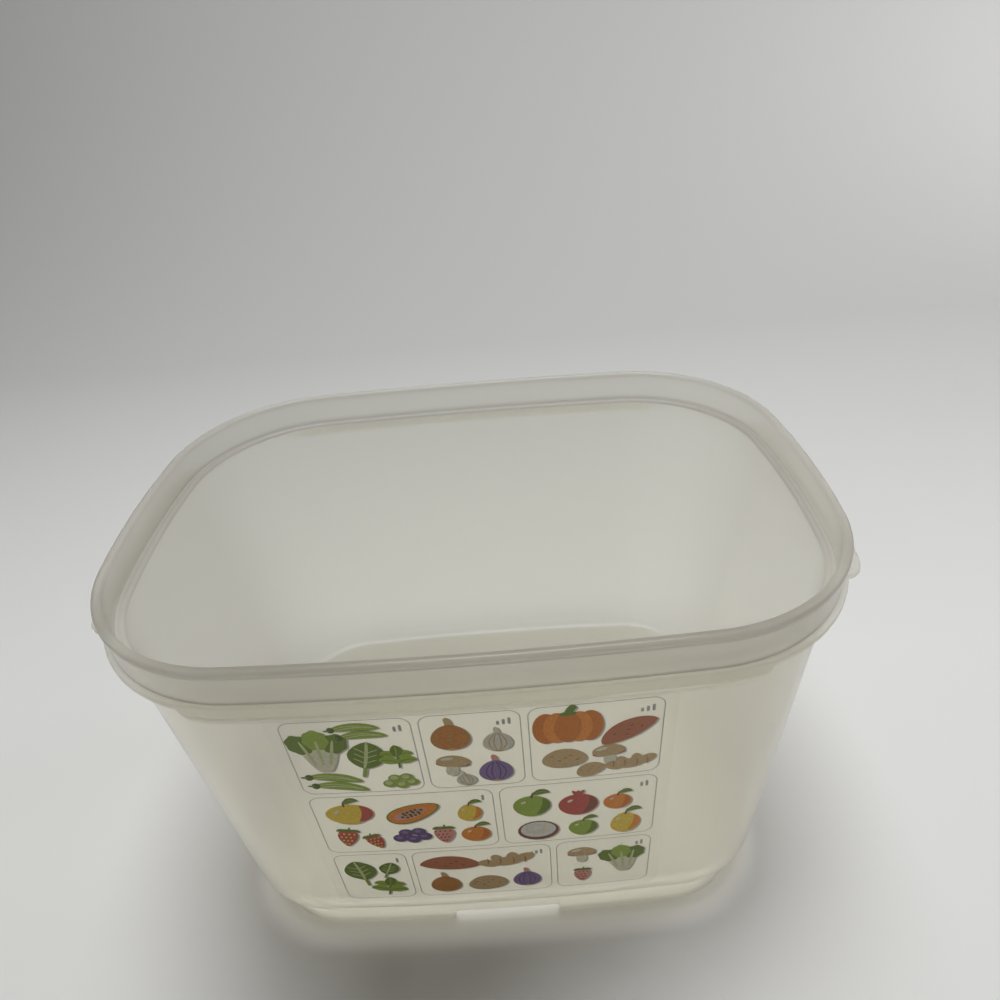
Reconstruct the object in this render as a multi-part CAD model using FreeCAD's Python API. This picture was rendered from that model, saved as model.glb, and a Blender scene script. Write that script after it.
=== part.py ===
"""Produce keeper: an open tub moulded in natural polypropylene, with a clear storage-guide label.

The tub is one moulding.  Its rim is a rounded lip on an upright neck, with an inner ledge and an outer
flange below it where a lid seats.  The drafted walls stand on a narrower foot ring under a raised floor.
Frame: +X along the long side, +Y towards the back, +Z up, origin on the table under the middle.
"""
import FreeCAD
import Part
import os
from collections import namedtuple
from math import atan2, cos, hypot, pi, sin, sqrt

# Plan outlines: eight tangent arcs, bowed long sides, bowed ends and four corners (mm)
LIP_LENGTH = 188.0
LIP_DEPTH = 132.0
LIP_SIDE_RADIUS = 1000.0
LIP_END_RADIUS = 255.0
LIP_CORNER_RADIUS = 43.0
BASE_LENGTH = 165.0
BASE_DEPTH = 115.4
BASE_SIDE_RADIUS = 1000.0
BASE_END_RADIUS = 313.0
BASE_CORNER_RADIUS = 29.7

# Heights and walls
HEIGHT = 128.5
WALL = 2.0
FLOOR_THICKNESS = 1.8
FLOOR_FILLET = 3.0
HEEL_ROUND = 1.4

# Rim: lip bead, neck, inner ledge and outer flange
LIP_WIDTH = 2.4
LIP_ROUND = 1.0
BEAD_HEIGHT = 2.2
BEAD_REACH = 0.7
BEAD_UNDER_ROUND = 0.4
LEDGE_DROP = 9.2
LEDGE_ROUND = 0.8
FLANGE_DROP = 10.3
FLANGE_THICKNESS = 1.9
FLANGE_REACH = 0.7
FLANGE_ROUND = 0.6
SHOULDER_INSET = 2.6

# Catch strips under the flange, front and back
STRIP_LENGTH = 128.0
STRIP_DROP = 4.9
STRIP_WALL = 1.5
STRIP_CORNER = 3.0
STRIP_ROUND = 0.6

# Lift grips, where the flange widens at both ends
GRIP_LENGTH = 76.0
GRIP_REACH = 3.1
GRIP_CORNER = 5.0

# Foot ring under the floor, notched at the middle of the front and back
FOOT_HEIGHT = 16.0
FOOT_STEP = 1.6
FOOT_TAPER = 2.7
FOOT_WALL = 1.8
FOOT_ROUND = 0.4
NOTCH_WIDTH = 33.0
NOTCH_ROOF = 9.5
NOTCH_CORNER = 2.0

# Label film on the front wall
LABEL_WIDTH = 93.0
LABEL_HEIGHT = 90.0
LABEL_RISE = 5.5
LABEL_SHIFT = -1.6
LABEL_CORNER = 4.0
LABEL_FILM = 0.2

# How level an edge or a face has to lie to count as flat
LEVEL = 0.001

FLANGE_TOP = HEIGHT - FLANGE_DROP
FLANGE_UNDER = FLANGE_TOP - FLANGE_THICKNESS
LEDGE_TOP = HEIGHT - LEDGE_DROP
FLOOR_TOP = FOOT_HEIGHT + FLOOR_THICKNESS
NOTCH_TOP = FOOT_HEIGHT - NOTCH_ROOF
LABEL_BOTTOM = FOOT_HEIGHT + LABEL_RISE

Plan = namedtuple("Plan", "half_length half_depth side_radius end_radius corner_radius")
LIP = Plan(LIP_LENGTH / 2, LIP_DEPTH / 2, LIP_SIDE_RADIUS, LIP_END_RADIUS, LIP_CORNER_RADIUS)
BASE = Plan(BASE_LENGTH / 2, BASE_DEPTH / 2, BASE_SIDE_RADIUS, BASE_END_RADIUS, BASE_CORNER_RADIUS)


def grown(plan, by):
    """The same outline moved outwards by a distance: every half size and radius grows by it."""
    return Plan(*(size + by for size in plan))


def corner_centre(plan):
    """Centre of the +X +Y corner arc, tangent inside both the side arc and the end arc."""
    side_y = plan.half_depth - plan.side_radius
    end_x = plan.half_length - plan.end_radius
    reach_side = plan.side_radius - plan.corner_radius
    reach_end = plan.end_radius - plan.corner_radius
    apart = hypot(end_x, side_y)
    along = (apart ** 2 + reach_side ** 2 - reach_end ** 2) / (2 * apart)
    across = sqrt(reach_side ** 2 - along ** 2)
    unit_x = end_x / apart
    unit_y = -side_y / apart
    return along * unit_x + across * unit_y, side_y + along * unit_y - across * unit_x


def arc(centre_x, centre_y, radius, start, end, z):
    """Edge of a circle about a centre, from one angle to another, at a height."""
    middle = (start + end) / 2
    points = [FreeCAD.Vector(centre_x + radius * cos(turn), centre_y + radius * sin(turn), z)
              for turn in (start, middle, end)]
    return Part.Arc(*points).toShape()


def outline(plan, z):
    """Closed wire of the eight arcs at a height, starting at the middle of the +X end."""
    cx, cy = corner_centre(plan)
    side_y = plan.half_depth - plan.side_radius
    end_x = plan.half_length - plan.end_radius
    leave_end = atan2(cy, cx - end_x)
    meet_side = atan2(cy - side_y, cx)
    edges = [
        arc(end_x, 0, plan.end_radius, -leave_end, leave_end, z),
        arc(cx, cy, plan.corner_radius, leave_end, meet_side, z),
        arc(0, side_y, plan.side_radius, meet_side, pi - meet_side, z),
        arc(-cx, cy, plan.corner_radius, pi - meet_side, pi - leave_end, z),
        arc(-end_x, 0, plan.end_radius, pi - leave_end, pi + leave_end, z),
        arc(-cx, -cy, plan.corner_radius, pi + leave_end, pi + meet_side, z),
        arc(0, -side_y, plan.side_radius, pi + meet_side, 2 * pi - meet_side, z),
        arc(cx, -cy, plan.corner_radius, 2 * pi - meet_side, 2 * pi - leave_end, z),
    ]
    return Part.Wire(edges)


def prism(plan, low, high):
    """Straight solid on an outline between two heights."""
    return Part.Face(outline(plan, low)).extrude(FreeCAD.Vector(0, 0, high - low))


def drafted(low_plan, low, high_plan, high):
    """Solid with straight sloping sides from one outline up to another."""
    return Part.makeLoft([outline(low_plan, low), outline(high_plan, high)], True, True)


def block(x_size, y_size, z_size, x=0.0, y=0.0, z=0.0):
    """Box centred on x and y, standing on z."""
    return Part.makeBox(x_size, y_size, z_size, FreeCAD.Vector(x - x_size / 2, y - y_size / 2, z))


def panel(width, low, high, round_low, round_high, x, y_from, y_to):
    """Upright panel seen from the front, with its lower and upper corners rounded, from y to y."""
    left = x - width / 2
    solid = Part.makeBox(width, y_to - y_from, high - low, FreeCAD.Vector(left, y_from, low))
    for height, radius in ((low, round_low), (high, round_high)):
        if radius:
            corners = [edge for edge in solid.Edges
                       if edge.BoundBox.YLength > (y_to - y_from) / 2
                       and abs(edge.BoundBox.Center.z - height) < radius / 2]
            solid = solid.makeFillet(radius, corners)
    return solid


def flat_edges(shape, z):
    """Edges that lie level at a height."""
    return [edge for edge in shape.Edges
            if edge.BoundBox.ZLength < LEVEL and abs(edge.BoundBox.Center.z - z) < LEVEL]


def level_face(shape, z):
    """The flat face that faces up at a height."""
    faces = [face for face in shape.Faces
             if face.BoundBox.ZLength < LEVEL and abs(face.BoundBox.Center.z - z) < LEVEL]
    return max(faces, key=lambda face: face.Area)


def inner_edges(face):
    """Edges of the face's smallest loop."""
    return min(face.Wires, key=lambda wire: wire.BoundBox.XLength).Edges


def soft_plate(plate, radius):
    """Level plate with its upper and lower edges rounded."""
    box = plate.BoundBox
    return plate.makeFillet(radius, flat_edges(plate, box.ZMin) + flat_edges(plate, box.ZMax))


def make_shell():
    """Drafted body up to the flange, with a rounded heel where it meets the foot."""
    body = drafted(BASE, FOOT_HEIGHT, grown(LIP, -SHOULDER_INSET), FLANGE_UNDER)
    return body.makeFillet(HEEL_ROUND, flat_edges(body, FOOT_HEIGHT))


def make_cavity():
    """Space inside the walls, from the floor to the ledge, with a rounded floor edge and ledge edge."""
    inside_top = grown(LIP, -SHOULDER_INSET - WALL)
    tapered = drafted(grown(BASE, -WALL), FOOT_HEIGHT, inside_top, FLANGE_UNDER)
    under_floor = block(2 * LIP_LENGTH, 2 * LIP_DEPTH, FLOOR_THICKNESS, z=FOOT_HEIGHT)
    tapered = tapered.cut(under_floor)
    tapered = tapered.makeFillet(FLOOR_FILLET, flat_edges(tapered, FLOOR_TOP))
    return tapered.fuse(prism(inside_top, FLANGE_UNDER, LEDGE_TOP))


def make_collar():
    """Flange with its end grips and the two catch strips that hang from it."""
    flange = soft_plate(prism(grown(LIP, FLANGE_REACH), FLANGE_UNDER, FLANGE_TOP), FLANGE_ROUND)
    wide = prism(grown(LIP, FLANGE_REACH + GRIP_REACH), FLANGE_UNDER, FLANGE_TOP)
    grips = wide.common(block(2 * LIP_LENGTH, GRIP_LENGTH, FLANGE_THICKNESS, z=FLANGE_UNDER))
    tips = [edge for edge in grips.Edges if edge.BoundBox.ZLength > FLANGE_THICKNESS / 2]
    grips = soft_plate(grips.makeFillet(GRIP_CORNER, tips), FLANGE_ROUND)

    strip_low = FLANGE_TOP - STRIP_DROP
    strip_top = FLANGE_TOP - FLANGE_ROUND
    ring = prism(grown(LIP, FLANGE_REACH), strip_low, strip_top)
    ring = ring.cut(prism(grown(LIP, FLANGE_REACH - STRIP_WALL), strip_low, strip_top))
    ring = ring.makeFillet(STRIP_ROUND, flat_edges(ring, strip_low))
    window = panel(STRIP_LENGTH, strip_low, strip_top, STRIP_CORNER, 0, 0, -LIP_DEPTH, LIP_DEPTH)
    return flange.fuse([grips, ring.common(window)])


def make_rim():
    """Upright neck with the rounded lip bead along its top edge."""
    neck = prism(grown(LIP, -BEAD_REACH), FLANGE_UNDER, HEIGHT)
    bead = prism(LIP, HEIGHT - BEAD_HEIGHT, HEIGHT)
    bead = bead.makeFillet(LIP_ROUND, flat_edges(bead, HEIGHT))
    bead = bead.makeFillet(BEAD_UNDER_ROUND, flat_edges(bead, HEIGHT - BEAD_HEIGHT))
    neck = neck.cut(block(2 * LIP_LENGTH, 2 * LIP_DEPTH, BEAD_HEIGHT, z=HEIGHT - BEAD_HEIGHT / 2))
    return neck.fuse(bead)


def make_foot():
    """Tapered ring under the floor, notched at the middle of the front and the back."""
    step = grown(BASE, -FOOT_STEP)
    toe = grown(step, -FOOT_TAPER)
    ring = drafted(toe, 0, step, FOOT_HEIGHT)
    ring = ring.cut(drafted(grown(toe, -FOOT_WALL), 0, grown(step, -FOOT_WALL), FOOT_HEIGHT))
    ring = ring.makeFillet(FOOT_ROUND, flat_edges(ring, 0))
    notch = panel(NOTCH_WIDTH, -NOTCH_CORNER, NOTCH_TOP, 0, NOTCH_CORNER, 0, -BASE_DEPTH, BASE_DEPTH)
    return ring.cut(notch)


def make_tub():
    """The whole moulding: shell, rim, collar and foot, hollowed by the cavity and the mouth."""
    mouth = prism(grown(LIP, -LIP_WIDTH), LEDGE_TOP, HEIGHT + LIP_WIDTH)
    solid = make_shell().fuse([make_rim(), make_collar(), make_foot()])
    solid = solid.cut(make_cavity().fuse(mouth)).removeSplitter()
    solid = solid.makeFillet(LIP_ROUND, inner_edges(level_face(solid, HEIGHT)))
    return solid.makeFillet(LEDGE_ROUND, inner_edges(level_face(solid, LEDGE_TOP)))


def make_label():
    """Clear film that lies on the front wall and follows its bow."""
    front = drafted(grown(BASE, LABEL_FILM), FOOT_HEIGHT,
                    grown(LIP, LABEL_FILM - SHOULDER_INSET), FLANGE_UNDER)
    window = panel(LABEL_WIDTH, LABEL_BOTTOM, LABEL_BOTTOM + LABEL_HEIGHT, LABEL_CORNER, LABEL_CORNER,
                   LABEL_SHIFT, -LIP_DEPTH, 0)
    wall = drafted(BASE, FOOT_HEIGHT, grown(LIP, -SHOULDER_INSET), FLANGE_UNDER)
    return front.common(window).cut(wall)


os.makedirs("parts", exist_ok=True)
for name, shape in (("tub", make_tub()), ("chart_label", make_label())):
    solid = shape.Solids[0]
    print(name, len(shape.Solids), "solid, valid", solid.isValid(), "volume", round(solid.Volume),
          "box", solid.optimalBoundingBox())
    solid.exportStep("parts/" + name + ".step")
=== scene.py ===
"""Looks of the produce keeper: an open milky tub with a printed storage guide, on a pale table."""
from math import pi, radians
import bpy
import numpy as np
from mathutils import Euler, Matrix, Vector


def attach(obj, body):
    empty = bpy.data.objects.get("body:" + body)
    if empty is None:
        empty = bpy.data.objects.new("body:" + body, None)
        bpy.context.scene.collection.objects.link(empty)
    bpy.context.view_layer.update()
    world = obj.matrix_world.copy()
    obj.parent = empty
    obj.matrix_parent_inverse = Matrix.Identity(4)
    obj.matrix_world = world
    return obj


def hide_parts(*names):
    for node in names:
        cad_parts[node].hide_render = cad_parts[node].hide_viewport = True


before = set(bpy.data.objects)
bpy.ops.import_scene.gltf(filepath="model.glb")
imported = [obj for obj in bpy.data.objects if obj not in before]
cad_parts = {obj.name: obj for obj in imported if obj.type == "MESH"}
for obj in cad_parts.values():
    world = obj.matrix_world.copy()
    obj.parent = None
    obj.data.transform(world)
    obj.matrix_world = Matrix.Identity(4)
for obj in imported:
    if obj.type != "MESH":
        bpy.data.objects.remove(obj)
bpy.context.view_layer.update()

# Tub: the whole keeper is one injection moulding in natural polypropylene, milky and see-through.
# Its drafted walls stand on a notched foot ring and end in a flange, an upright neck and a rounded lip.
# Sizes are in mm, and an offset is from the lip's outline or, for the foot, from the base's, outwards.
MM = 0.001
SIDE_BOW = 1000.0
LIP = (94.0, 66.0, SIDE_BOW, 255.0, 43.0)
BASE = (82.5, 57.7, SIDE_BOW, 313.0, 29.7)
HEIGHT = 128.5
HEEL, FLOOR_TOP, HEEL_ROUND, FLOOR_FILLET = 16.0, 17.8, 1.4, 3.0
FOOT_OUTSIDE, FOOT_INSIDE, FOOT_DRAFT, FOOT_ROUND = -1.6, -3.4, 2.7, 0.4
NOTCH_END, NOTCH_TOP, NOTCH_CORNER, NOTCH_ROUND = 16.5, 6.5, 2.0, 0.05
WALL, WALL_OUTSIDE, WALL_INSIDE = 2.0, -2.6, -4.6
FLANGE_UNDER, FLANGE_TOP, FLANGE_REACH, FLANGE_ROUND = 116.3, 118.2, 0.7, 0.6
GRIP_END, GRIP_REACH, GRIP_CORNER = 38.0, 3.1, 5.0
STRIP_END, STRIP_LOW, STRIP_CORNER = 64.0, 113.3, 3.0
STRIP_INSIDE, STRIP_BEAD = -0.8, 0.5
LEDGE_TOP, LEDGE_ROUND = 119.3, 0.8
NECK_OUTSIDE, NECK_INSIDE, LIP_ROUND = -0.7, -2.4, 1.0
LIP_BEAD, LIP_BEAD_ROUND = 2.2, 0.4
EVEN_COLUMNS = 116
SHARP_EDGE = radians(38)


def plan(sizes, share):
    """Points and outward normals of an outline of eight tangent arcs, share running from 0 to 8.

    sizes are half length, half depth and the radii of side, end and corner arcs.  Each arc is its centre
    plus its radius times the unit vector of a turn that grows evenly along the arc.
    """
    half_length, half_depth, side, end, corner = sizes
    side_y, end_x = half_depth - side, half_length - end
    apart = np.hypot(end_x, side_y)
    along = (apart ** 2 + (side - corner) ** 2 - (end - corner) ** 2) / (2 * apart)
    across = np.sqrt((side - corner) ** 2 - along ** 2)
    corner_x = (along * end_x - across * side_y) / apart
    corner_y = side_y + (-along * side_y - across * end_x) / apart
    leave = np.arctan2(corner_y, corner_x - end_x)
    meet = np.arctan2(corner_y - side_y, corner_x)
    turns = np.array([-leave, leave, meet, pi - meet, pi - leave, pi + leave, pi + meet,
                      2 * pi - meet, 2 * pi - leave])
    centres = np.array([(end_x, 0), (corner_x, corner_y), (0, side_y), (-corner_x, corner_y), (-end_x, 0),
                        (-corner_x, -corner_y), (0, -side_y), (corner_x, -corner_y)])
    radii = np.array([end, corner, side, corner] * 2)
    which = np.floor(share).astype(int) % 8
    turn = turns[which] + (share - np.floor(share)) * (turns[which + 1] - turns[which])
    normals = np.stack([np.cos(turn), np.sin(turn)], 1)
    return centres[which] + radii[which, None] * normals, normals


def quarter_shares():
    """Shares of the outline's columns in one quarter: even steps, and close ones where a feature ends."""
    fine = np.linspace(0.5, 2.5, 8001)
    points, _ = plan(LIP, fine)
    length = np.concatenate([[0], np.cumsum(np.hypot(*np.diff(points, axis=0).T))])
    even = np.interp(np.linspace(0, length[-1], EVEN_COLUMNS), length, fine)
    near = np.array([-0.4, 0.0, 0.1, 0.3, 0.6, 1.0, 1.5, 2.1, 2.9, 3.6, 4.4, 5.2])
    grip = np.interp(GRIP_END - near, points[:, 1], fine)
    strip = np.interp(STRIP_END - near, points[::-1, 0], fine[::-1])
    base_points, _ = plan(BASE, fine)
    notch_side = np.concatenate([NOTCH_END - near[1:], [NOTCH_END + 0.02, NOTCH_END + 0.4]])
    notch = np.interp(notch_side, base_points[::-1, 0], fine[::-1])
    return np.unique(np.concatenate([even, grip, strip, notch]).round(6))


quarter = quarter_shares()
shares = np.concatenate([quarter, 5 - quarter[-2::-1], quarter[1:] + 4, 9 - quarter[-2:0:-1]]) % 8
lip, lip_out = plan(LIP, shares)
base, base_out = plan(BASE, shares)

# Which columns have a catch strip, a grip or a notch, and how far each one has come at its rounded end
strip_in = np.clip(STRIP_END - np.abs(lip[:, 0]), 0, STRIP_CORNER) / STRIP_CORNER
strip_drop = (FLANGE_UNDER - STRIP_LOW) * np.sqrt(1 - (1 - strip_in) ** 2)
grip_in = np.clip(GRIP_END - np.abs(lip[:, 1]), 0, GRIP_CORNER)
grip_out = GRIP_REACH - GRIP_CORNER + np.sqrt(GRIP_CORNER ** 2 - (GRIP_CORNER - grip_in) ** 2)
grip_out = np.clip(grip_out, 0, None)
notch_in = np.clip(NOTCH_END - np.abs(base[:, 0]), 0, NOTCH_CORNER)
notched = np.abs(base[:, 0]) < NOTCH_END + 0.01
notch_rise = NOTCH_TOP - NOTCH_CORNER + np.sqrt(NOTCH_CORNER ** 2 - (NOTCH_CORNER - notch_in) ** 2)
foot_low = np.where(notched, notch_rise, 0.0)


def row(points, z):
    """One closed ring of the moulding's surface: plan points at a height, which may vary along it."""
    return np.column_stack([points, np.broadcast_to(z, len(points))])


def at_lip(offset, z):
    """Ring that follows the lip's outline, moved outwards by an offset."""
    return row(lip + lip_out * np.reshape(offset, (-1, 1)), z)


def at_foot(offset, z):
    """Ring of the foot: the base outline moved by an offset and drawn in by its draft towards the table."""
    drawn_in = FOOT_DRAFT * (1 - np.broadcast_to(z, len(base)) / HEEL)
    return row(base + base_out * (np.broadcast_to(offset, len(base)) - drawn_in)[:, None], z)


def on_wall(z, inset=0.0):
    """Ring on the wall's straight slope, from the base outline to the lip's, drawn in by an inset."""
    rise = (z - HEEL) / (FLANGE_UNDER - HEEL)
    low_ring = base - base_out * inset
    high_ring = lip + lip_out * (WALL_OUTSIDE - inset)
    return row(low_ring * (1 - rise) + high_ring * rise, z)


def quarter_turn(steps):
    """Sines and cosines of a quarter turn in even steps, both ends included."""
    turn = np.linspace(0, pi / 2, steps + 1)
    return list(zip(np.sin(turn), np.cos(turn)))


# The skin runs from the middle of the underside round the foot, up the outside, over the lip and down to
# the floor.  Each group of rings first says how deep the plastic is: 0 in the floor, about 0.35 in a wall,
# up to 0.85 along a root, and below 0 on the strip's bead, which paints a highlight line along the bead.
# Depth above 0.4 greys the plastic, partly for its thickness and partly as painted shade: the lip and the
# flange's root are deeper along the front, where they stand in shade, the ledge along the back and the
# ends.
front = np.clip(-lip_out[:, 1], 0, 1)
foot_round = np.where(notched, NOTCH_ROUND, FOOT_ROUND)
strip_low = FLANGE_UNDER - strip_drop
strip_round = np.minimum(strip_drop, FLANGE_ROUND)
strip_root = STRIP_INSIDE - 0.3 * (1 - strip_round / FLANGE_ROUND)
strip_back = STRIP_BEAD * strip_in
flange_edge = FLANGE_REACH + grip_out
strip_face = flange_edge - strip_back
bead_top = strip_low + FLANGE_ROUND + 0.1 + strip_back
lip_bead_low = HEIGHT - LIP_BEAD
skin_groups = (
    # Underside of the floor, and the foot ring's inside, rounded edge and outside
    (0.0, [row(base * share, HEEL) for share in (0.3, 0.6, 0.85)]),
    (0.1, [at_foot(FOOT_INSIDE, HEEL), at_foot(FOOT_INSIDE, HEEL - 0.4)]),
    (0.1, [at_foot(FOOT_INSIDE + foot_round * (1 - c), foot_low + foot_round * (1 - s))
           for s, c in quarter_turn(3)]),
    (0.1, [at_foot(FOOT_OUTSIDE - foot_round * (1 - s), foot_low + foot_round * (1 - c))
           for s, c in quarter_turn(3)]),
    (0.1, [at_foot(FOOT_OUTSIDE, HEEL - 1.5)]),
    (0.35, [at_foot(FOOT_OUTSIDE, HEEL)]),
    # Heel and outside of the wall
    (0.42, [on_wall(HEEL + HEEL_ROUND * (1 - c), HEEL_ROUND * (1 - s)) for s, c in quarter_turn(6)]),
    (0.4, [on_wall(z) for z in (17.8, 19.3)]),
    (0.35, [on_wall(z) for z in (20.8, 35, 55, 75, 95, 112)]),
    # Underside of the flange, with the catch strip that hangs from it, and the strip's beaded face
    (0.4, [on_wall(FLANGE_UNDER), at_lip(strip_root, FLANGE_UNDER)]),
    (0.15, [at_lip(STRIP_INSIDE + FLANGE_ROUND * (1 - c), strip_low + strip_round * (1 - s))
            for s, c in quarter_turn(4)]),
    (0.15, [at_lip(flange_edge - FLANGE_ROUND * (1 - s), strip_low + FLANGE_ROUND * (1 - c))
            for s, c in quarter_turn(4)]),
    (0.35, [at_lip(flange_edge, bead_top)]),
    # Painted highlight: the bead's shoulder rings go below depth 0, which turns the milk white there
    (0.35 - 1.05 * strip_in, [at_lip(flange_edge - 0.2 * strip_back, bead_top + 0.06 + 0.02 * strip_in),
                              at_lip(strip_face, bead_top + 0.18)]),
    (0.35, [at_lip(strip_face, bead_top + 0.32), at_lip(strip_face, FLANGE_TOP - FLANGE_ROUND - 0.1)]),
    # Top of the flange and outside of the neck
    (0.45, [at_lip(strip_face - FLANGE_ROUND * (1 - c), FLANGE_TOP - FLANGE_ROUND * (1 - s))
            for s, c in quarter_turn(4)]),
    # Deeper along the front: painted shade on the flange's root and the neck there
    (0.45 + 0.1 * front, [at_lip(NECK_OUTSIDE + 0.25, FLANGE_TOP)]),
    (0.5 + 0.35 * front, [at_lip(NECK_OUTSIDE, FLANGE_TOP)]),
    (0.42 + 0.15 * front, [at_lip(NECK_OUTSIDE, FLANGE_TOP + 0.9), at_lip(NECK_OUTSIDE, lip_bead_low - 1)]),
    # Lip: its bead outside, then the round over the top
    # The lip is deeper along the front, which paints it darker there as shade
    (0.45 + 0.3 * front, [at_lip(NECK_OUTSIDE, lip_bead_low), at_lip(NECK_OUTSIDE + 0.2, lip_bead_low)]),
    (0.45 + 0.1 * front, [at_lip(-LIP_BEAD_ROUND * (1 - s), lip_bead_low + LIP_BEAD_ROUND * (1 - c))
                          for s, c in quarter_turn(3)]),
    (0.48 + 0.2 * front, [at_lip(-LIP_ROUND * (1 - c), HEIGHT - LIP_ROUND * (1 - s))
                          for s, c in quarter_turn(6)]),
    (0.48 + 0.2 * front, [at_lip(NECK_INSIDE + LIP_ROUND * (1 - s), HEIGHT - LIP_ROUND * (1 - c))
                          for s, c in quarter_turn(6)]),
    # Inside of the neck, and the ledge where it meets the wall
    (0.42, [at_lip(NECK_INSIDE, HEIGHT - 2.0), at_lip(NECK_INSIDE, LEDGE_TOP + 4.5)]),
    (0.45 - 0.05 * front, [at_lip(NECK_INSIDE, LEDGE_TOP + 1.2)]),
    # Deeper along the back and the ends: a painted dark band of shade at the ledge
    (0.62 - 0.22 * front, [at_lip(NECK_INSIDE, LEDGE_TOP)]),
    (0.75 - 0.35 * front, [at_lip(NECK_INSIDE - 1.1, LEDGE_TOP)]),
    (0.68 - 0.28 * front, [at_lip(WALL_INSIDE + LEDGE_ROUND * (1 - s), LEDGE_TOP - LEDGE_ROUND * (1 - c))
                           for s, c in quarter_turn(5)]),
    # Inside of the wall, the fillet at its foot and the floor
    (0.4, [at_lip(WALL_INSIDE, 118.0), at_lip(WALL_INSIDE, FLANGE_UNDER)]),
    (0.35, [on_wall(z, WALL) for z in (115.5, 95, 75, 55, 35, 22)]),
    (0.3, [on_wall(21.2, WALL)]),
    (0.2, [on_wall(FLOOR_TOP + FLOOR_FILLET * (1 - s), WALL + FLOOR_FILLET * (1 - c))
           for s, c in quarter_turn(8)]),
    (0.0, [row(base * share, FLOOR_TOP) for share in (0.9, 0.6, 0.3)]),
)
tub_rings = [ring for _, group in skin_groups for ring in group]
tub_depths = [np.broadcast_to(depth, len(lip)) for depth, group in skin_groups for _ in group]


def skin(name, rings, low_pole, high_pole):
    """Mesh of rings joined by quads, closed by a fan to a point at each end, smooth but for sharp edges."""
    count, around = len(rings), len(rings[0])
    points = np.concatenate([np.concatenate(rings), [low_pole, high_pole]]) * MM
    ring = np.arange(count - 1)[:, None] * around
    here = np.arange(around)[None, :]
    then = (here + 1) % around
    quads = np.stack([ring + here, ring + then, ring + around + then, ring + around + here], 2)
    last = (count - 1) * around
    low_fan = np.stack([np.full(around, count * around), then[0], here[0]], 1)
    high_fan = np.stack([np.full(around, count * around + 1), last + here[0], last + then[0]], 1)
    faces = quads.reshape(-1, 4).tolist() + low_fan.tolist() + high_fan.tolist()
    mesh = bpy.data.meshes.new(name)
    mesh.from_pydata(points.tolist(), [], faces)
    mesh.shade_smooth()
    mesh.set_sharp_from_angle(angle=SHARP_EDGE)
    piece = bpy.data.objects.new(name, mesh)
    bpy.context.scene.collection.objects.link(piece)
    return piece


tub = skin("tub_moulding", tub_rings, (0, 0, HEEL), (0, 0, FLOOR_TOP))
depth_values = tub.data.attributes.new("depth", "FLOAT", "POINT")
depth_values.data.foreach_set("value", np.concatenate([*tub_depths, [0, 0]]))


def linear(code):
    """Linear RGBA of an sRGB hex colour: the power curve above 0.04045, the straight foot below it."""
    level = np.array([int(code[at:at + 2], 16) for at in (1, 3, 5)]) / 255
    level = np.where(level > 0.04045, ((level + 0.055) / 1.055) ** 2.4, level / 12.92)
    return (*level, 1.0)


def finish_named(name):
    """An empty node material of that name."""
    material = bpy.data.materials.new(name)
    material.use_nodes = True
    material.node_tree.nodes.clear()
    return material


def add_node(material, kind, inputs=None, **settings):
    """Adds one node: settings are its own choices, inputs are values or the sockets that feed it."""
    tree = material.node_tree
    made = tree.nodes.new(kind)
    for name, value in settings.items():
        setattr(made, name, value)
    for name, value in (inputs or {}).items():
        if isinstance(value, bpy.types.NodeSocket):
            tree.links.new(value, made.inputs[name])
        else:
            made.inputs[name].default_value = value
    return made


# Natural polypropylene, injection moulded in a fine-eroded mould: a clear body that the crystals in it turn
# milky, more so where the way through it is long.  A lamp's straight light gets through best where the wall
# is thin and met square on.
FLOW_MARKS = 24
polypropylene = finish_named("natural polypropylene, injection moulded")
place = add_node(polypropylene, "ShaderNodeTexCoord").outputs["Object"]
how_deep = add_node(polypropylene, "ShaderNodeAttribute", attribute_name="depth").outputs["Fac"]
slant = add_node(polypropylene, "ShaderNodeLayerWeight", {"Blend": 0.5}).outputs["Facing"]
ray = add_node(polypropylene, "ShaderNodeLightPath")

# Colours: the crystals' white, greyer along deep roots for thick plastic and painted shade, and white on
# the bead as a painted highlight
thick_grey_and_painted_shade = add_node(polypropylene, "ShaderNodeMapRange", {"Value": how_deep,
                  "From Min": 0.4}).outputs["Result"]
# Painted highlight: below depth 0 the milk turns white and more diffuse, a light line painted on the bead
painted_highlight = add_node(polypropylene, "ShaderNodeMapRange", {"Value": how_deep, "From Min": 0.0,
                 "From Max": -1.0}).outputs["Result"]
flow = add_node(polypropylene, "ShaderNodeTexNoise", {"Vector": place, "Scale": 1 / (FLOW_MARKS * MM),
                "Detail": 2.0}).outputs["Fac"]
crystals = add_node(polypropylene, "ShaderNodeMixRGB", {"Fac": flow, "Color1": linear("#ece6e1"),
                    "Color2": linear("#e7e0da")}).outputs["Color"]
body_tint = add_node(polypropylene, "ShaderNodeMixRGB", {"Fac": thick_grey_and_painted_shade, "Color1": crystals,
                     "Color2": linear("#b4afa8")}).outputs["Color"]
milk_tint = add_node(polypropylene, "ShaderNodeMixRGB", {"Fac": painted_highlight, "Color1": body_tint,
                     "Color2": linear("#ffffff")}).outputs["Color"]
clear_tint = add_node(polypropylene, "ShaderNodeMixRGB", {"Fac": thick_grey_and_painted_shade, "Color1": linear("#fcfcf8"),
                      "Color2": linear("#c2c0bb")}).outputs["Color"]

# Milk: light that the crystals scatter, partly back and partly on through the wall
bounce = add_node(polypropylene, "ShaderNodeBsdfDiffuse", {"Color": milk_tint}).outputs[0]
glow = add_node(polypropylene, "ShaderNodeBsdfTranslucent", {"Color": milk_tint}).outputs[0]
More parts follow.
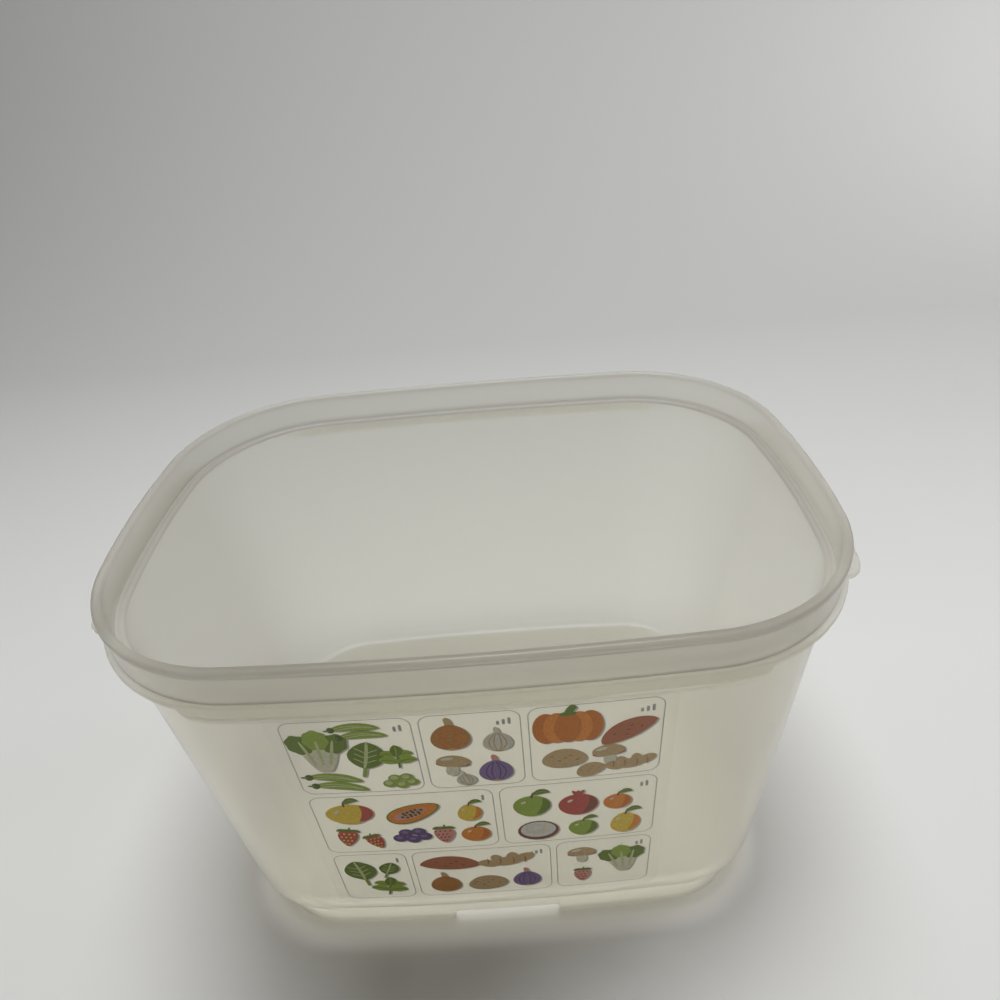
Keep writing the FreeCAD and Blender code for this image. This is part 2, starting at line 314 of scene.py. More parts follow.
# On the painted highlight the milk is mostly diffuse white rather than glow
backlit = add_node(polypropylene, "ShaderNodeMath", {0: painted_highlight, 1: -0.65, 2: 0.65},
                   operation="MULTIPLY_ADD").outputs[0]
milk = add_node(polypropylene, "ShaderNodeMixShader", {0: backlit, 1: bounce, 2: glow}).outputs[0]

# Clear body: frosted to the eye, while a lamp's ray goes straight on and loses more at a slant and in depth
clear = add_node(polypropylene, "ShaderNodeBsdfGlass", {"Color": clear_tint, "Roughness": 0.7, "IOR": 1.1},
                 distribution="MULTI_GGX").outputs[0]
lamp_ray = add_node(polypropylene, "ShaderNodeMath", {0: ray.outputs["Is Shadow Ray"],
                    1: ray.outputs["Is Diffuse Ray"]}, operation="MAXIMUM").outputs[0]
square_on = add_node(polypropylene, "ShaderNodeMath", {0: 1.0, 1: slant}, operation="SUBTRACT").outputs[0]
loss = add_node(polypropylene, "ShaderNodeMath", {0: how_deep, 1: 1.3}, operation="MULTIPLY").outputs[0]
light_left = add_node(polypropylene, "ShaderNodeMath", {0: square_on, 1: loss},
                      operation="POWER").outputs[0]
lamp_tint = add_node(polypropylene, "ShaderNodeMixRGB", {"Fac": light_left, "Color1": linear("#5e503a"),
                     "Color2": linear("#faf9f4")}).outputs["Color"]
through = add_node(polypropylene, "ShaderNodeBsdfTransparent", {"Color": lamp_tint}).outputs[0]
straight = add_node(polypropylene, "ShaderNodeMixShader", {0: lamp_ray, 1: clear, 2: through}).outputs[0]

# How milky: a little everywhere, more at a slant and in depth, and half as much for a lamp's ray
haze = add_node(polypropylene, "ShaderNodeMath", {0: slant, 1: 0.28, 2: 0.04},
                operation="MULTIPLY_ADD").outputs[0]
thick = add_node(polypropylene, "ShaderNodeMath", {0: how_deep, 1: 2.0}, operation="POWER").outputs[0]
milkiness = add_node(polypropylene, "ShaderNodeMath", {0: thick, 1: 0.5, 2: haze},
                     operation="MULTIPLY_ADD").outputs[0]
pierced = add_node(polypropylene, "ShaderNodeMath", {0: lamp_ray, 1: -0.5, 2: 1.0},
                   operation="MULTIPLY_ADD").outputs[0]
milk_share = add_node(polypropylene, "ShaderNodeMath", {0: milkiness, 1: pierced},
                      operation="MULTIPLY").outputs[0]
plastic = add_node(polypropylene, "ShaderNodeMixShader", {0: milk_share, 1: straight, 2: milk}).outputs[0]

# Satin gloss on the outer face of the plastic only
satin = add_node(polypropylene, "ShaderNodeBsdfGlossy", {"Roughness": 0.3}).outputs[0]
mirror = add_node(polypropylene, "ShaderNodeFresnel", {"IOR": 1.35}).outputs[0]
inside = add_node(polypropylene, "ShaderNodeNewGeometry").outputs["Backfacing"]
outside = add_node(polypropylene, "ShaderNodeMath", {0: 1.0, 1: inside}, operation="SUBTRACT").outputs[0]
gloss = add_node(polypropylene, "ShaderNodeMath", {0: mirror, 1: outside}, operation="MULTIPLY").outputs[0]
surface = add_node(polypropylene, "ShaderNodeMixShader", {0: gloss, 1: plastic, 2: satin}).outputs[0]
add_node(polypropylene, "ShaderNodeOutputMaterial", {"Surface": surface})
tub.data.materials.append(polypropylene)
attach(tub, "root")
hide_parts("tub")

# Label: a clear plastic film, cut with round corners and laid on the front wall, that carries the print.
# It is thin and wet out on the wall, so only a little gloss tells it from the plastic under it.
LABEL_LEFT, LABEL_LOW, LABEL_WIDTH, LABEL_HEIGHT, LABEL_CORNER = -48.1, 21.5, 93.0, 90.0, 4.0
FILM_BACK, FILM = 0.02, 0.2


def front_wall(across, up, lift):
    """Point of the front wall seen from the front, lifted off it: the side's bow, carried up the slope."""
    rise = (up - HEEL) / (FLANGE_UNDER - HEEL)
    bow = SIDE_BOW - np.sqrt(SIDE_BOW ** 2 - across ** 2)
    out = BASE[1] * (1 - rise) + (LIP[1] + WALL_OUTSIDE) * rise - bow + lift
    return np.stack(np.broadcast_arrays(across, -out, up), -1)


def round_panel(left, low, width, height, corner, inset=0.0, spacing=2.0):
    """Loop of a rectangle with round corners, drawn in by an inset: four sides and four quarter circles."""
    corner = corner - inset
    half = np.array([width / 2 - inset, height / 2 - inset])
    middle = np.array([left + width / 2, low + height / 2])
    turn = np.linspace(0, pi / 2, 9)
    arc = half - corner + corner * np.stack([np.cos(turn), np.sin(turn)], 1)
    arcs = [arc, arc[::-1] * (-1, 1), arc * -1, arc[::-1] * (1, -1)]
    sides = []
    for start, end in zip(arcs, arcs[1:] + arcs[:1]):
        steps = int(np.hypot(*(end[0] - start[-1])) / spacing) + 2
        sides += [start, start[-1] + (end[0] - start[-1]) * np.linspace(0, 1, steps)[1:-1, None]]
    return middle + np.concatenate(sides)


film_edge = round_panel(LABEL_LEFT, LABEL_LOW, LABEL_WIDTH, LABEL_HEIGHT, LABEL_CORNER)
film_middle = np.array([LABEL_LEFT + LABEL_WIDTH / 2, LABEL_LOW + LABEL_HEIGHT / 2])
film_loops = [film_middle + (film_edge - film_middle) * share for share in np.linspace(0.1, 1, 10)]
film_rings = [front_wall(*loop.T, FILM_BACK) for loop in film_loops]
film_rings += [front_wall(*loop.T, FILM) for loop in film_loops[::-1]]
film = skin("label_film", film_rings, front_wall(*film_middle, FILM_BACK), front_wall(*film_middle, FILM))

# Clear polypropylene film, cast and calendered: hardly any body, a faint smooth gloss with slow waves in it
FILM_WAVES = 18
film_finish = finish_named("clear polypropylene film, calendered")
place = add_node(film_finish, "ShaderNodeTexCoord").outputs["Object"]
waves = add_node(film_finish, "ShaderNodeTexNoise", {"Vector": place, "Scale": 1 / (FILM_WAVES * MM),
                 "Detail": 1.0}).outputs["Fac"]
polish = add_node(film_finish, "ShaderNodeMapRange", {"Value": waves, "To Min": 0.16,
                  "To Max": 0.3}).outputs["Result"]
clear_film = add_node(film_finish, "ShaderNodeBsdfPrincipled", {
    "Base Color": linear("#f3f2ec"), "Roughness": polish, "IOR": 1.49, "Alpha": 0.02})
add_node(film_finish, "ShaderNodeOutputMaterial", {"Surface": clear_film.outputs[0]})
film.data.materials.append(film_finish)
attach(film, "root")
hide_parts("chart_label")

# Printed guide: flat screen-print inks on the film, thin grey frames with pictures of what keeps well.
# Every picture is laid down colour over colour, so each patch of ink lies a hair above the one before it.
INK_LIFT, INK_COAT = FILM + 0.02, 0.006
# Painted shadow: a grey copy of a picture's larger patches, shifted right and down, for the ink's shadow in
# the wall
PAINTED_SHADOW_SHIFT, PAINTED_SHADOW_FROM = (0.45, -0.4), 2.5
THINNEST_LINE = 0.04
square = np.linspace(-1, 1, 13)
side_a, side_b = np.meshgrid(square, square, indexing="ij")
disc = np.stack([side_a * np.sqrt(1 - side_b ** 2 / 2), side_b * np.sqrt(1 - side_a ** 2 / 2)], 2)


def blob(x, y, width, height, turn=0.0, lobes=0, depth=0.0, nip=0.0):
    """Filled oval: a square grid pressed into a disc and stretched, in mm.

    Its radius waves by depth over a number of lobes.  A positive nip narrows it towards the bottom and a
    negative one towards the top.  Then it is turned, in degrees, and moved to x and y.
    """
    wave = 1 + depth * np.cos(lobes * np.arctan2(disc[..., 0], disc[..., 1]))
    shape = disc * wave[..., None] * (width / 2, height / 2)
    shape[..., 0] *= 1 - abs(nip) * (1 - np.sign(nip) * disc[..., 1]) / 2
    cos, sin = np.cos(radians(turn)), np.sin(radians(turn))
    return shape @ np.array([[cos, sin], [-sin, cos]]) + (x, y)


def ribbon(start, bend, end, width, tip=0.5):
    """Filled band along the quadratic curve from start to end that bends towards a point, in mm.

    Half its width follows (4 t (1 - t)) to the power tip: 0 is an even line, 0.5 a pod, 1 a pointed leaf.
    """
    start, bend, end = np.array(start, float), np.array(bend, float), np.array(end, float)
    t = np.linspace(0, 1, 21)[:, None]
    spine = (1 - t) ** 2 * start + 2 * t * (1 - t) * bend + t ** 2 * end
    way = (1 - t) * (bend - start) + t * (end - bend)
    normal = np.stack([-way[:, 1], way[:, 0]], 1) / np.hypot(way[:, :1], way[:, 1:])
    half = np.maximum(width * (4 * t * (1 - t)) ** tip, THINNEST_LINE) / 2
    return spine[:, None] + np.linspace(-1, 1, 5)[:, None] * (half * normal)[:, None]


# Screen-print ink: matt and dense, with the fine speckle of the mesh it was pressed through
MESH_SPECKLE = 0.5
ink = finish_named("screen-print ink, cured")
place = add_node(ink, "ShaderNodeTexCoord").outputs["Object"]
pigment = add_node(ink, "ShaderNodeAttribute", attribute_name="ink").outputs["Color"]
speckle = add_node(ink, "ShaderNodeTexNoise", {"Vector": place, "Scale": 1 / (MESH_SPECKLE * MM),
                   "Detail": 1.0}).outputs["Fac"]
strength = add_node(ink, "ShaderNodeMapRange", {"Value": speckle, "From Min": 0.3, "From Max": 0.7,
                    "To Min": 0.9, "To Max": 1.08}).outputs["Result"]
speckled = add_node(ink, "ShaderNodeVectorMath", {0: pigment, "Scale": strength},
                    operation="SCALE").outputs["Vector"]
dry = add_node(ink, "ShaderNodeBsdfPrincipled", {"Base Color": speckled, "Roughness": 0.5})
add_node(ink, "ShaderNodeOutputMaterial", {"Surface": dry.outputs[0]})


def print_on_label(name, patches, across=0.0, up=0.0, turn=0.0, size=1.0, shadow=None):
    """One piece of print: grids of points with a colour each, sized, turned, moved and laid on the wall.

    With a shadow colour, the larger patches come first in that colour, moved a little right and down: a
    painted shadow that stands in for the shade the ink casts into the wall.
    """
    cos, sin = size * np.cos(radians(turn)), size * np.sin(radians(turn))
    points, faces, colours = [], [], []
    count = 0
    layers = [(grid, shadow, PAINTED_SHADOW_SHIFT) for grid, _ in patches
              if shadow and np.ptp(grid, (0, 1)).max() > PAINTED_SHADOW_FROM]
    layers += [(grid, colour, (0, 0)) for grid, colour in patches]
    for coat, (grid, colour, shift) in enumerate(layers):
        closed = np.allclose(grid[0], grid[-1])
        grid = grid[:-1] if closed else grid
        rows, columns = grid.shape[:2]
        flat = grid.reshape(-1, 2) @ np.array([[cos, sin], [-sin, cos]]) + shift
        flat = flat + (LABEL_LEFT + across, LABEL_LOW + up)
        points.append(front_wall(flat[:, 0], flat[:, 1], INK_LIFT + coat * INK_COAT) * MM)
        here = np.arange(rows - (not closed))[:, None] * columns
        then = (here + columns) % (rows * columns)
        cell = np.arange(columns - 1) + count
        quads = np.stack([here + cell, then + cell, then + cell + 1, here + cell + 1], 2)
        faces.append(quads.reshape(-1, 4))
        colours.append(np.tile(linear(colour), (rows * columns, 1)))
        count += rows * columns
    mesh = bpy.data.meshes.new(name)
    mesh.from_pydata(np.concatenate(points).tolist(), [], np.concatenate(faces).tolist())
    inks = mesh.attributes.new("ink", "FLOAT_COLOR", "POINT")
    inks.data.foreach_set("color", np.concatenate(colours).ravel())
    mesh.shade_smooth()
    mesh.materials.append(ink)
    piece = bpy.data.objects.new(name, mesh)
    bpy.context.scene.collection.objects.link(piece)
    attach(piece, "root")


# The inks, the grey of the painted shadow under the pictures, and two shapes of a ribbon's tip.  Each
# picture is drawn in mm about its own middle, as patches of ink from the lowest to the top one.
LEAF, DEEP, DARK, PALE = "#a6be48", "#7a9132", "#5b7028", "#d3dd9c"
CREAM, TAN, RUSSET, UMBER = "#efe8c8", "#d8b883", "#c67a52", "#935d45"
ORANGE, AMBER, GOLD, RED = "#f79a3c", "#e08430", "#fbd851", "#d0604f"
ROSE, PLUM, VIOLET, GREY = "#eaa595", "#725a86", "#957ba9", "#bcbab2"
WHITE, IVORY, HONEY, PAINTED_SHADOW_GREY = "#eeece2", "#e4dfca", "#c98f4a", "#cfcabd"
BLUNT, ROUNDED = 0.1, 0.3


def leaf(start, bend, end, width, green, vein):
    """A pointed leaf with a rib along it."""
    return [(ribbon(start, bend, end, width, 0.75), green),
            (ribbon(start, bend, end, width * 0.1, ROUNDED), vein)]


def bok_choy():
    """Three pale stalks from one foot, each with a round leaf and a vein."""
    stalks = [(ribbon((0, -6.5), (x * 0.3, -3), (x, 2), 3.4, ROUNDED), CREAM) for x in (-3.0, 3.0, 0.0)]
    leaves = [(blob(x, y, 5.2, 6.6, -5 * x, 7, 0.05), green)
              for x, y, green in ((-3.6, 3.2, DEEP), (3.6, 3.2, DEEP), (0, 4.6, LEAF))]
    veins = [(ribbon((x * 0.5, -4), (x * 0.8, 0), (x * 1.15, 4.5), 0.7, ROUNDED), PALE) for x in (-3, 0, 3)]
    return stalks + leaves + veins


def okra():
    """Two ribbed green pods with dark caps and short stalks."""
    pods = []
    for x, y in ((0, 1.3), (1.2, -1.8)):
        pods += [(ribbon((x - 5.5, y), (x, y + 1.6), (x + 6, y - 0.6), 2.9, 0.55), LEAF)]
        pods += [(ribbon((x - 4.5, y + lift), (x, y + 1.6 + lift), (x + 5, y - 0.5), 0.35, ROUNDED), PALE)
                 for lift in (-0.45, 0.45)]
        pods += [(blob(x - 5.3, y + 0.05, 1.8, 2.2), DARK), (blob(x - 6.3, y - 0.05, 1.6, 0.7), DEEP)]
    return pods


def spinach():
    """A broad leaf on a long stalk, with side veins."""
    stalk = [(ribbon((0, -7), (0.3, -4), (0, -1), 0.9, BLUNT), LEAF)]
    veins = [(ribbon((0, y), (side * 1.5, y + 1), (side * 2.5, y + 1.6), 0.3, ROUNDED), PALE)
             for y in (-1.5, 0.4, 2.3) for side in (-1, 1)]
    return stalk + leaf((0, -3.6), (0.4, 1), (0, 6.4), 8.2, DEEP, PALE) + veins


def basil():
    """A sprig: two pairs of leaves and one at the tip."""
    sprig = [(ribbon((0, -5.5), (0.4, -2), (0, 1), 0.6, BLUNT), DEEP)]
    for side, y, size in ((-1, -3, 1.0), (1, -3, 1.0), (-1, 0, 0.85), (1, 0, 0.85)):
        bend, end = (side * 2.5 * size, y + 2.6 * size), (side * 5 * size, y + 1.0)
        sprig += leaf((0, y), bend, end, 3.4 * size, LEAF, DEEP)
    return sprig + leaf((0, 0.3), (0.4, 2.5), (0, 5.2), 3.2, DEEP, LEAF)


def bulb(skin_tone, rib_tone, neck_tone):
    """An onion or a garlic: a round bulb drawn up to a neck, with ribs and a tuft of root."""
    ribs = [(ribbon((x * 0.25, -4), (x * 1.35, -0.5), (x * 0.1, 3.9), 0.35, ROUNDED), rib_tone)
            for x in (-3.2, -1.4, 1.4, 3.2)]
    return [(ribbon((0, 3), (0.3, 5), (-0.5, 6.8), 1.6, ROUNDED), neck_tone),
            (blob(0, 0, 9.6, 8.8, nip=-0.25), skin_tone),
            (blob(0, -4.3, 2.2, 0.9), TAN)] + ribs


def mushroom():
    """A cap with its gills just in sight, on a short stalk."""
    return [(blob(0, -2.3, 3.6, 5.2, nip=-0.15), CREAM),
            (blob(0, 0.3, 8.6, 2.4), UMBER),
            (blob(0, 1.6, 9.6, 5.0, nip=-0.2), TAN),
            (blob(-1.6, 2.5, 3.2, 1.2, 15), CREAM)]


def ginger():
    """Knobbly root of short swollen fingers, with rings round them."""
    fingers = ((0, 0, 8, 4.2, 10), (-4.6, -0.6, 5, 3.4, -20), (4.2, 1.4, 5.2, 3.4, 35),
               (1.2, 2.2, 2.6, 3.8, -10), (-2.6, 1.8, 2.6, 3.2, 20))
    lines = [(ribbon((x, -1.2), (x + 0.5, 0.3), (x, 1.6), 0.3, ROUNDED), RUSSET)
             for x in (-4.8, -1.8, 1.4, 4.2)]
    return [(blob(*finger), TAN) for finger in fingers] + lines


def pumpkin():
    """Five swollen ribs round a woody stalk."""
    ribs = [(blob(x, 0, 5.2, 9.4), tone) for x, tone in
            ((-4.2, AMBER), (4.2, AMBER), (-2.1, ORANGE), (2.1, ORANGE), (0, AMBER))]
    stalk = ribbon((0, 4), (0.2, 5.4), (1.4, 6.6), 1.6, BLUNT)
    return ribs + [(stalk, DEEP), (blob(0, 4.2, 3.4, 1.2), DEEP)]


def tuber(body, skin_tone, eye_tone):
    """A potato or a sweet potato: a swollen body with small eyes."""
    eyes = ((-3, 0.8, 20), (-1, -0.9, -10), (1.4, 1.2, 5), (3, -0.4, 30), (0.2, 0.3, -20))
    return [(body, skin_tone)] + [(blob(x, y, 0.9, 0.35, turn), eye_tone) for x, y, turn in eyes]


def round_fruit(tone, shaded, width, height, nip=0.0, crown=None):
    """A round fruit with a shaded side, a light spot, a stalk and a leaf, or a crown at its blossom end."""
    side = ribbon((width * 0.1, -height * 0.42), (width * 0.5, -height * 0.1),
                  (width * 0.28, height * 0.36), width * 0.22, 0.8)
    spot = blob(-width * 0.2, height * 0.2, width * 0.16, height * 0.1, 40)
    fruit = [(blob(0, 0, width, height, nip=nip), tone), (side, shaded), (spot, CREAM)]
    top = (0, height * 0.4)
    if crown:
        return fruit + [(ribbon(top, (x * 0.5, height * 0.55), (x, height * 0.68), 1.0, 0.6), crown)
                        for x in (-1.4, 0.0, 1.4)]
    stalk = [(ribbon(top, (0.2, height * 0.55), (0.7, height * 0.66), 0.6, BLUNT), UMBER)]
    green = leaf((0.4, height * 0.52), (2.2, height * 0.8), (4.0, height * 0.6), 1.9, DEEP, LEAF)
    return fruit + stalk + green


def berry(tone, seed, nip):
    """A strawberry or a raspberry: a pointed body full of seeds under a green crown."""
    seeds = [(blob(x * (1 - 0.1 * rank), 1.9 - 1.5 * rank, 0.55, 0.8), seed) for rank in range(4)
             for x in np.arange(-2.2 + 0.45 * rank, 2.3 - 0.45 * rank, 1.25)]
    crown = [(ribbon((0, 3.1), (x * 0.6, 4.4), (x, 3.0), 1.3, 0.7), DEEP) for x in (-2.8, -1.2, 1.2, 2.8)]
    stalk = [(ribbon((0, 3), (0, 4.2), (0.5, 5.2), 0.5, BLUNT), DEEP)]
    return [(blob(0, 0, 6.6, 7.6, nip=nip), tone)] + seeds + crown + stalk


def berries(tone, mark, points):
    """A handful of small round berries, each with a star of some points or a round spot at its end."""
    parts = []
    for x, y in ((-2.6, -1), (0.6, -1.7), (3.4, -0.6), (-0.9, 1.4), (2.2, 1.7)):
        parts += [(blob(x, y, 3.6, 3.5), tone), (blob(x - 0.2, y + 0.3, 1.5, 1.4, 0, points, 0.35), mark)]
    return parts


def half_papaya():
    """A fruit cut lengthwise: skin, flesh, hollow and dark seeds."""
    seeds = [(blob(0.5 * (rank % 2) - 0.25, 2.4 - 1.1 * rank, 0.9, 0.8), DARK) for rank in range(6)]
    seeds += [(blob(side * 0.95, 1.2 - 1.1 * rank, 0.8, 0.7), DARK)
              for rank in range(4) for side in (-1, 1)]
    return [(blob(0, 0, 8.6, 14, nip=-0.4), DEEP),
            (blob(0, 0, 7.8, 13.2, nip=-0.4), ORANGE),
            (blob(0, -0.8, 4.0, 9, nip=-0.3), ROSE)] + seeds


def half_coconut():
    """A shell cut across, with white flesh round its hollow."""
    return [(blob(0, 0, 10.5, 9.2, 0, 19, 0.015), UMBER),
            (blob(0, 0.4, 9.0, 7.4), WHITE),
            (blob(0, 0.7, 6.2, 4.8), CREAM),
            (blob(-0.6, 1.2, 4.2, 2.6), WHITE)]


pictures = {
    "bok_choy": bok_choy(),
    "okra": okra(),
    "spinach": spinach(),
    "basil": basil(),
    "onion": bulb(HONEY, AMBER, TAN),
    "red_onion": bulb(VIOLET, PLUM, ROSE),
    "garlic": bulb(IVORY, TAN, CREAM),
    "mushroom": mushroom(),
    "ginger": ginger(),
    "pumpkin": pumpkin(),
    "potato": tuber(blob(0, 0, 10.4, 7.4, 8, 3, 0.04), TAN, RUSSET),
    "sweet_potato": tuber(ribbon((-7, -0.6), (0, 1.6), (7, -0.4), 6.2, 0.7), RUSSET, UMBER),
    "apple": round_fruit(LEAF, DEEP, 9.0, 8.4, 0.15),
    "apricot": round_fruit(ORANGE, AMBER, 8.0, 7.6),
    "quince": round_fruit(GOLD, ORANGE, 8.6, 9.6, -0.3),
    "mango": round_fruit(GOLD, RED, 12.5, 8.6, 0.25),
    "pomegranate": round_fruit(RED, UMBER, 9.6, 9.0, 0.05, RED),
    "strawberry": berry(RED, GOLD, 0.6),
    "raspberry": berry(ROSE, RED, 0.45),
    "blueberries": berries(PLUM, VIOLET, 5),
    "gooseberries": berries(LEAF, PALE, 0),
    "papaya": half_papaya(),
    "coconut": half_coconut(),
}

# Frames of the guide's cells, each with one to three small bars in its corner that say how much air it
# needs.  A cell is its left and lower edge on the label, its width, its height and its number of bars.
FRAME_CORNER, FRAME_LINE = 3.0, 0.24
BAR_WIDTH, BAR_STEP, BAR_FALL = 0.7, 1.3, 0.5
BAR_SIDE, BAR_TOP, BAR_MIDDLE, BAR_FOOT = 2.6, 2.6, 4.0, 5.0
cells = {
    "greens": (3, 58.5, 30, 29, 2),
    "bulbs": (34.5, 58.5, 23, 29, 3),
    "roots": (59, 58.5, 31, 29, 3),
    "soft_fruit": (3, 29.5, 46, 27.5, 1),
    "firm_fruit": (50.5, 29.5, 39.5, 27.5, 2),
    "herbs": (3, 2.5, 20, 25.5, 1),
    "cellar": (24.5, 2.5, 38, 25.5, 3),
    "mixed": (64, 2.5, 26, 25.5, 2),
}
for name, (*panel, bars) in cells.items():
    line = np.stack([round_panel(*panel, FRAME_CORNER, inset) for inset in (0.0, FRAME_LINE)], 1)
    patches = [(np.concatenate([line, line[:1]]), GREY)]
    cell_right, cell_top = panel[0] + panel[2], panel[1] + panel[3]
    for bar in range(bars):
        bar_x = cell_right - BAR_SIDE - BAR_STEP * bar
        bar_ends = [(bar_x, cell_top - down) for down in (BAR_FOOT, BAR_MIDDLE, BAR_TOP + BAR_FALL * bar)]
        patches.append((ribbon(*bar_ends, BAR_WIDTH, 0.05), GREY))
    print_on_label("guide_frame_" + name, patches)

# Pictures in the cells: name and letter, then place on the label, turn in degrees and size.
PICTURE_SIZE = 1.14
guide = (
    ("bok_choy", "a", 10.5, 75.5, 0, 1.0),
    ("okra", "a", 20, 83.2, 4, 0.85),
    ("spinach", "a", 20.5, 72.5, -12, 0.95),
    ("basil", "a", 28.0, 73.0, 0, 0.78),
    ("gooseberries", "a", 27.0, 62.8, 0, 0.8),
    ("okra", "b", 11.5, 63.5, -8, 1.0),
    ("onion", "a", 41.2, 79.0, 0, 0.95),
    ("garlic", "a", 51.8, 76.2, 0, 0.72),
    ("red_onion", "a", 50.6, 64.6, 0, 0.85),
    ("mushroom", "a", 40.6, 68.2, -8, 0.82),
    ("garlic", "b", 43.2, 61.8, 14, 0.5),
    ("pumpkin", "a", 68.0, 79.4, 0, 1.05),
    ("sweet_potato", "a", 82.0, 76.0, 32, 0.95),
    ("potato", "a", 67.0, 67.2, -6, 0.9),
    ("mushroom", "b", 77.6, 67.6, 6, 0.8),
    ("ginger", "a", 83.0, 63.0, 0, 0.8),
    ("potato", "b", 73.2, 61.8, 20, 0.62),
    ("mango", "a", 12.0, 48.6, 10, 0.95),
    ("papaya", "a", 28.2, 48.0, -64, 0.95),
    ("strawberry", "a", 9.4, 37.0, -10, 0.95),
    ("strawberry", "b", 16.6, 34.6, 18, 0.8),
    ("blueberries", "a", 26.0, 37.0, 0, 0.95),
    ("raspberry", "a", 35.0, 36.4, 0, 0.9),
    ("apricot", "a", 43.2, 36.0, 0, 0.85),
    ("quince", "a", 42.4, 46.6, 0, 0.72),
    ("apple", "a", 58.4, 47.4, 0, 1.0),
    ("pomegranate", "a", 70.2, 46.4, 0, 0.95),
    ("apricot", "b", 80.2, 46.2, 0, 0.8),
    ("coconut", "a", 59.6, 35.4, 0, 0.9),
    ("apple", "b", 71.4, 35.0, 0, 0.8),
    ("quince", "b", 82.4, 35.6, 0, 0.9),
    ("spinach", "b", 9.2, 17.6, 8, 0.95),
    ("basil", "b", 16.0, 9.8, -10, 0.9),
    ("spinach", "c", 17.0, 19.0, -20, 0.6),
    ("sweet_potato", "b", 34.5, 20.6, -6, 1.05),
    ("ginger", "b", 50.4, 20.4, 0, 1.0),
    ("onion", "b", 32.2, 9.2, 0, 0.9),
    ("potato", "c", 44.2, 8.6, 0, 0.95),
    ("red_onion", "b", 55.4, 9.4, 0, 0.82),
    ("mushroom", "c", 71.0, 20.6, 0, 0.8),
    ("bok_choy", "b", 82.4, 15.6, 6, 0.9),
    ("raspberry", "b", 71.2, 8.8, 0, 0.8),
)
for name, letter, across, up, turn, size in guide:
    print_on_label(f"print_{name}_{letter}", pictures[name], across, up, turn, PICTURE_SIZE * size, PAINTED_SHADOW_GREY)

# Table and backdrop: one sheet of pale matt paper that lies flat and curves up behind the keeper.
# Its sizes are in metres.  Behind the keeper its colour turns a little greyer: painted shade for the light
# falling off away from the lamps.
CURVE_START, CURVE_RADIUS = 0.45, 0.45
SHEET_FRONT, SHEET_TOP, SHEET_SIDE = -1.5, 2.4, 2.0
sheet_turn = np.linspace(0.08, pi / 2, 24)
sheet_y = np.concatenate([np.linspace(SHEET_FRONT, CURVE_START, 20),
                          CURVE_START + CURVE_RADIUS * np.sin(sheet_turn),
                          np.full(6, CURVE_START + CURVE_RADIUS)])
sheet_z = np.concatenate([np.zeros(20),
                          CURVE_RADIUS * (1 - np.cos(sheet_turn)),
                          np.linspace(0.6, SHEET_TOP, 6)])
sheet_x = np.linspace(-SHEET_SIDE, SHEET_SIDE, 3)
sheet_grid = np.stack(np.broadcast_arrays(sheet_x, sheet_y[:, None], sheet_z[:, None]), 2)
first_corner = (np.arange(len(sheet_y) - 1)[:, None] * 3 + np.arange(2)).reshape(-1, 1)
sheet_faces = first_corner + np.array([0, 1, 4, 3])
paper_mesh = bpy.data.meshes.new("paper_sweep")
paper_mesh.from_pydata(sheet_grid.reshape(-1, 3).tolist(), [], sheet_faces.tolist())
paper_mesh.shade_smooth()
sweep = bpy.data.objects.new("paper_sweep", paper_mesh)
bpy.context.scene.collection.objects.link(sweep)

# Uncoated paper: matt, with a faint cloudiness in its fibre
FIBRE_CLOUDS = 160
paper = finish_named("matt white paper, uncoated")
place = add_node(paper, "ShaderNodeTexCoord").outputs["Object"]
fibre = add_node(paper, "ShaderNodeTexNoise", {"Vector": place, "Scale": 1 / (FIBRE_CLOUDS * MM),
                 "Detail": 2.0}).outputs["Fac"]
white = add_node(paper, "ShaderNodeMixRGB", {"Fac": fibre, "Color1": linear("#dfdfdd"),
                 "Color2": linear("#dadad8")}).outputs["Color"]
# Painted shade: the paper's colour greys towards the back, for the light falling off there
behind = add_node(paper, "ShaderNodeSeparateXYZ", {"Vector": place}).outputs["Y"]
painted_falloff_shade = add_node(paper, "ShaderNodeMapRange", {"Value": behind, "From Min": 0.05,
                   "From Max": 0.42}).outputs["Result"]
paper_tint = add_node(paper, "ShaderNodeMixRGB", {"Fac": painted_falloff_shade, "Color1": white,
                      "Color2": linear("#bdbdbc")}).outputs["Color"]
matt = add_node(paper, "ShaderNodeBsdfPrincipled", {"Base Color": paper_tint, "Roughness": 0.9})
add_node(paper, "ShaderNodeOutputMaterial", {"Surface": matt.outputs["BSDF"]})
paper_mesh.materials.append(paper)


# Light: a soft lamp high above and a little behind, so that the shadow falls towards the viewer, a window
# at the right and one that lights the backdrop, and a dim room.  A card over the table in front of the tub,
# which only the lamps see, deepens the shadow there.
def lamp(name, place, aim, size, watts, spread=180):
    """Square white lamp at a place, turned to an aim point, its light kept to a spread in degrees."""
    light = bpy.data.lights.new(name, "AREA")
    light.size, light.energy, light.spread = size, watts, radians(spread)
    made = bpy.data.objects.new(name, light)
    made.location = place
    made.rotation_euler = (Vector(place) - Vector(aim)).to_track_quat("Z", "Y").to_euler()
    bpy.context.scene.collection.objects.link(made)


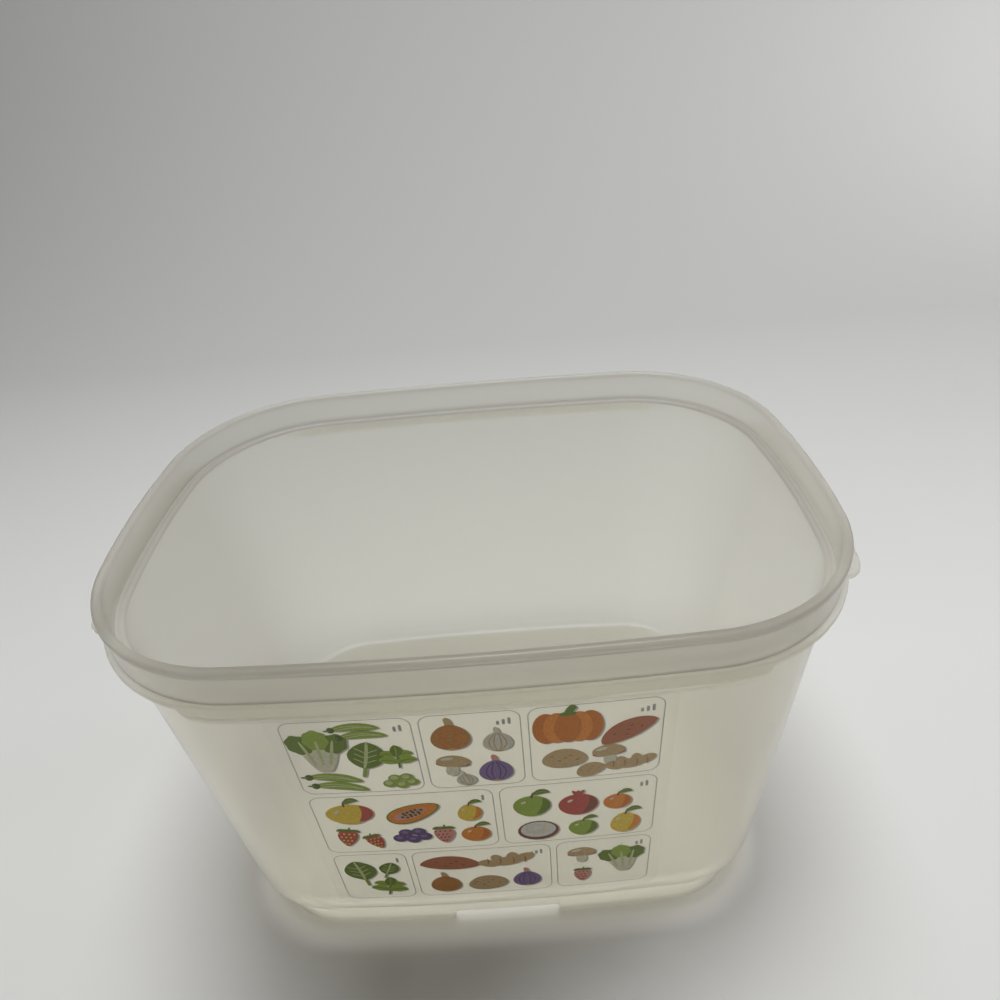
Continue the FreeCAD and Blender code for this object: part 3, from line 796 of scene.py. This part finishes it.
lamp("skylight", (0.0, 0.09, 1.3), (0, 0, 0), 0.6, 13.4)
lamp("window_right", (1.2, 0.2, 0.9), (0, 0.1, 0.06), 0.8, 4.6)
lamp("window_far_right", (1.0, 0.35, 0.45), (0.45, 0.9, 0.12), 0.3, 0.7, 90)
CARD_HEIGHT = 0.15
card_corners = ((-0.06, -0.116), (-0.004, -0.116), (0.034, -0.065), (-0.07, -0.065))
card_mesh = bpy.data.meshes.new("shade")
card_mesh.from_pydata([(*corner, CARD_HEIGHT) for corner in card_corners], [], [(0, 1, 2, 3)])
card_mesh.materials.append(paper)
card = bpy.data.objects.new("shade", card_mesh)
card.visible_camera = card.visible_diffuse = card.visible_glossy = card.visible_transmission = False
bpy.context.scene.collection.objects.link(card)
room = bpy.data.worlds.new("room")
room.use_nodes = True
room.node_tree.nodes.clear()
bounced = add_node(room, "ShaderNodeLightPath").outputs["Is Diffuse Ray"]
seen = add_node(room, "ShaderNodeMath", {0: 1.0, 1: bounced}, operation="SUBTRACT").outputs[0]
brightness = add_node(room, "ShaderNodeMapRange", {"Value": seen, "To Min": 0.03,
                      "To Max": 0.35}).outputs["Result"]
room_light = add_node(room, "ShaderNodeBackground", {"Color": linear("#ffffff"), "Strength": brightness})
add_node(room, "ShaderNodeOutputWorld", {"Surface": room_light.outputs[0]})
bpy.context.scene.world = room

# Camera: above the front edge and close to it, looking down into the tub and rolled a little.
# Its place, turn and lens are those that lay the rim, the heel line and the foot on the photograph.
CAMERA_DOWN, CAMERA_ASIDE, CAMERA_ROLL = radians(34.232), radians(0.997), radians(-5.038)
camera = bpy.data.objects.new("camera", bpy.data.cameras.new("camera"))
camera.data.lens = 26.012
camera.data.clip_start = 0.01
camera.location = (0.01094, -0.16836, 0.23636)
level_turn = Euler((pi / 2 - CAMERA_DOWN, 0, CAMERA_ASIDE)).to_matrix()
camera.rotation_euler = (level_turn @ Matrix.Rotation(CAMERA_ROLL, 3, "Z")).to_euler()
bpy.context.scene.collection.objects.link(camera)
bpy.context.scene.camera = camera
bpy.context.scene.view_settings.view_transform = "Standard"
